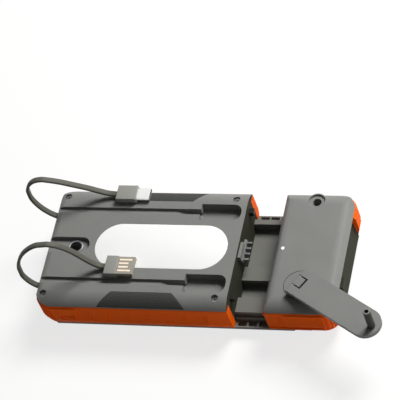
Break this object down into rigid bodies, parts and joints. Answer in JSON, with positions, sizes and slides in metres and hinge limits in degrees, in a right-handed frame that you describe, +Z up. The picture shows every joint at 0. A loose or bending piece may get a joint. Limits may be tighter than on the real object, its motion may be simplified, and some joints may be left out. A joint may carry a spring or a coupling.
{
  "type": "solar power bank with hand crank generator",
  "caption": "Rugged solar power bank with a lamp deck, stowed charging cables and a generator module that slides out on rails and is turned by a folding hand crank",
  "frame": {"origin": "centre of the solar face that the unit lies on, midway along the closed casing", "axes": "+X along the casing towards the generator module, +Y across the width, +Z up out of the lamp face"},
  "size_m": [0.2276, 0.1015, 0.0614],
  "materials": {
    "grey_housing": "moulded ABS, fine spark texture",
    "dark_shell": "moulded ABS, fine spark texture",
    "orange_rubber": "overmoulded soft rubber, satin",
    "solar_laminate": "resin-coated silicon cells",
    "black_rubber": "matt rubber with a fine dimple",
    "black_plastic": "moulded nylon, satin",
    "lamp_diffuser": "milky diffuser",
    "white_board": "white solder mask",
    "lamp_diodes": "yellow phosphor under resin",
    "circuit_board": "green solder mask",
    "cell_foil": "pouch foil",
    "gilt_contacts": "gold flash",
    "bearing_brass": "turned",
    "copper_winding": "enamelled copper wire",
    "bright_steel": "bright zinc",
    "gear_nylon": "moulded acetal",
    "ferrite": "sintered",
    "cable_jacket": "flat extruded jacket"
  },
  "bodies": {
    "main": {"front_shell": "dark_shell", "solar_panel": "solar_laminate", "rear_cover": "grey_housing", "main_bumper": "orange_rubber", "grip_pads": "black_rubber", "cover_screws": "bright_steel", "lamp_lens": "lamp_diffuser", "lamp_board": "white_board", "lamp_leds": "lamp_diodes", "main_board": "circuit_board", "cell_carrier": "black_plastic", "battery_cells": "cell_foil", "dock_connector": "grey_housing", "dock_contacts": "gilt_contacts", "guide_pegs": "black_plastic", "lanyard_eyelet": "bright_steel", "cable_glands": "black_rubber", "usb_cable": "cable_jacket", "usb_plug_body": "grey_housing", "usb_plug_tongue": "black_plastic", "usb_plug_contacts": "gilt_contacts", "slim_cable": "cable_jacket", "slim_plug_body": "grey_housing", "slim_plug_shell": "bright_steel", "slim_plug_tongue": "black_plastic"},
    "module": {"module_housing": "grey_housing", "module_base": "dark_shell", "module_bumper": "orange_rubber", "module_screws": "bright_steel", "module_board": "circuit_board", "dock_socket": "black_plastic", "indicator_lens": "lamp_diffuser", "generator_can": "bright_steel", "generator_end": "black_plastic", "stator_coil": "copper_winding", "idler_axle": "bright_steel", "crank_bush": "bearing_brass", "button_switch": "black_plastic"},
    "hub": {"crank_hub": "grey_housing", "drive_gear": "gear_nylon", "shaft_clip": "bright_steel", "hinge_pin": "bright_steel"},
    "arm": {"crank_arm": "grey_housing", "knob_pin": "bright_steel"},
    "knob": {"knob_sleeve": "black_plastic"},
    "idler": {"idler_gear": "gear_nylon"},
    "rotor": {"rotor_shaft": "bright_steel", "rotor_pinion": "bearing_brass", "rotor_magnet": "ferrite"},
    "button": {"power_button": "black_plastic"}
  },
  "joints": [
    {"name": "module_slide", "type": "slide", "parent": "main", "child": "module", "axis": [1, 0, 0], "range_m": [-0.0212, 0.0095]},
    {"name": "crank_spin", "type": "hinge", "parent": "module", "child": "hub", "pos_m": [0.0795, -0.02413, 0.03], "axis": [0, 0, 1], "continuous": true},
    {"name": "crank_fold", "type": "hinge", "parent": "hub", "child": "arm", "pos_m": [0.07847, -0.02351, 0.033], "axis": [-0.515, -0.8572, 0], "range_deg": [0, 160]},
    {"name": "knob_spin", "type": "hinge", "parent": "arm", "child": "knob", "pos_m": [0.12733, -0.05286, 0.0347], "axis": [0, 0, 1], "continuous": true},
    {"name": "idler_spin", "type": "hinge", "parent": "module", "child": "idler", "pos_m": [0.0795, -0.01362, 0.0144], "axis": [0, 0, 1], "continuous": true},
    {"name": "rotor_spin", "type": "hinge", "parent": "module", "child": "rotor", "pos_m": [0.0795, -0.00112, 0.0144], "axis": [0, 0, 1], "continuous": true},
    {"name": "button_press", "type": "slide", "parent": "module", "child": "button", "axis": [-1, 0, 0], "range_m": [0, 0.0008], "stiffness_N_per_m": 1500}
  ],
  "couplings": [
    {"joint": "idler_spin", "follows": "crank_spin", "ratio": -3.2},
    {"joint": "rotor_spin", "follows": "crank_spin", "ratio": 12.8}
  ]
}
